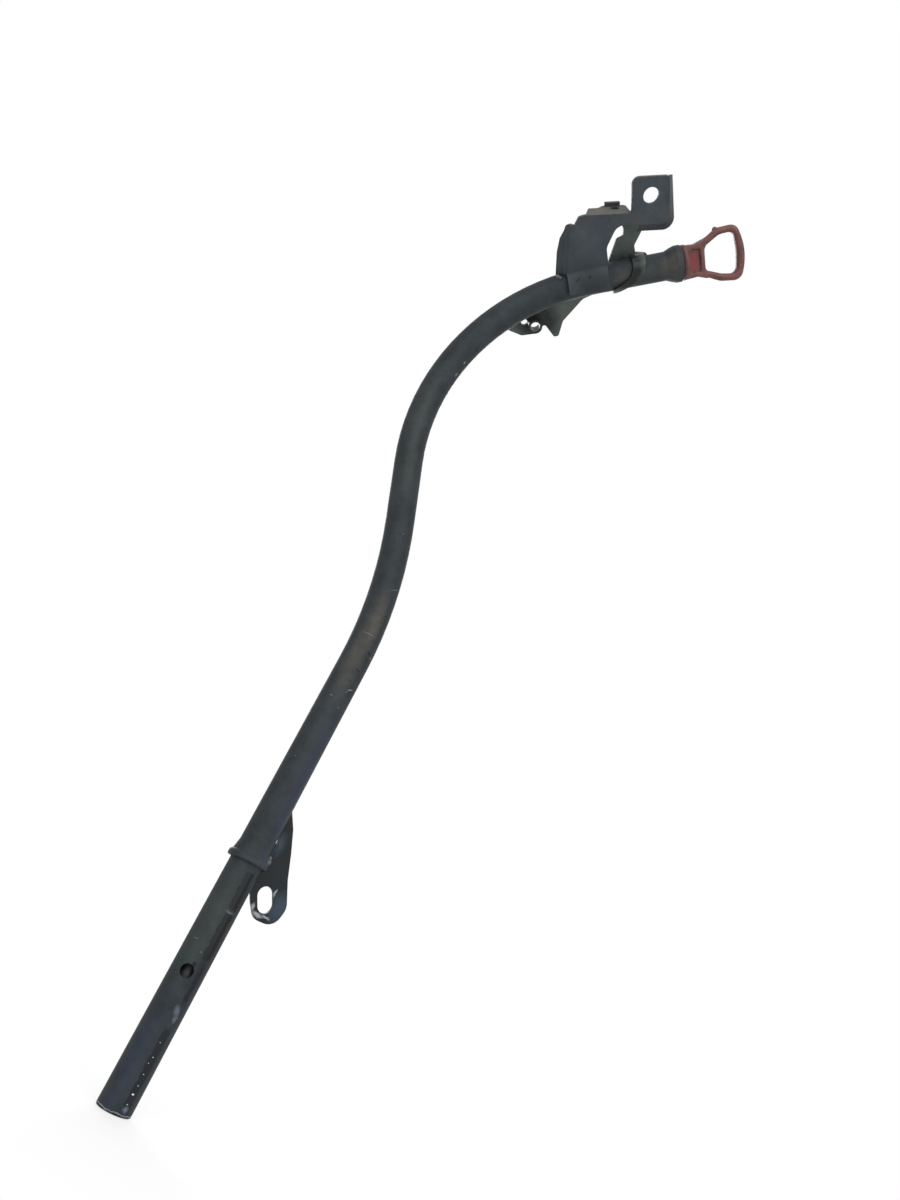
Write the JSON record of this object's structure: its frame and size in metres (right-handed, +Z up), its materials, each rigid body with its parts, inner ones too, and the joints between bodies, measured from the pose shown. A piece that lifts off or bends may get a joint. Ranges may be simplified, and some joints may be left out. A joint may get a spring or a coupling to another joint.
{
  "type": "oil dipstick with guide tube",
  "caption": "Engine oil dipstick with a loop handle, seated in its bent steel guide tube with welded mounting brackets and a plug-in spigot.",
  "frame": {"origin": "on the spigot's axis, at the underside of the bead where the tube seats on the engine block", "axes": "+Z up along the spigot's axis; the lower bend leans towards -X in the XZ plane; the upper bend turns out of that plane towards -Y"},
  "size_m": [0.1027, 0.1274, 0.5255],
  "materials": {
    "tube_paint": "worn satin black paint, oily on the spigot",
    "bracket_paint": "satin black paint with dust",
    "harness_paint": "grey passivated steel, dirty",
    "lower_paint": "satin black paint, bare at the slot",
    "handle_plastic": "dull faded red moulding",
    "seal_rubber": "oily black",
    "blade_steel": "oily steel",
    "tip_plastic": "oil stained natural nylon"
  },
  "bodies": {
    "tube": {"guide_tube": "tube_paint", "upper_bracket": "bracket_paint", "harness_bracket": "harness_paint", "lower_bracket": "lower_paint"},
    "dipstick": {"pull_handle": "handle_plastic", "outer_seal": "seal_rubber", "inner_seal": "seal_rubber", "blade_ferrule": "blade_steel", "blade": "blade_steel", "measuring_tip": "tip_plastic"}
  },
  "joints": [
    {"name": "dipstick_pull", "type": "slide", "parent": "tube", "child": "dipstick", "axis": [0.598, -0.6209, 0.5068], "range_m": [0, 0.5], "deforming": ["blade", "measuring_tip"]}
  ]
}
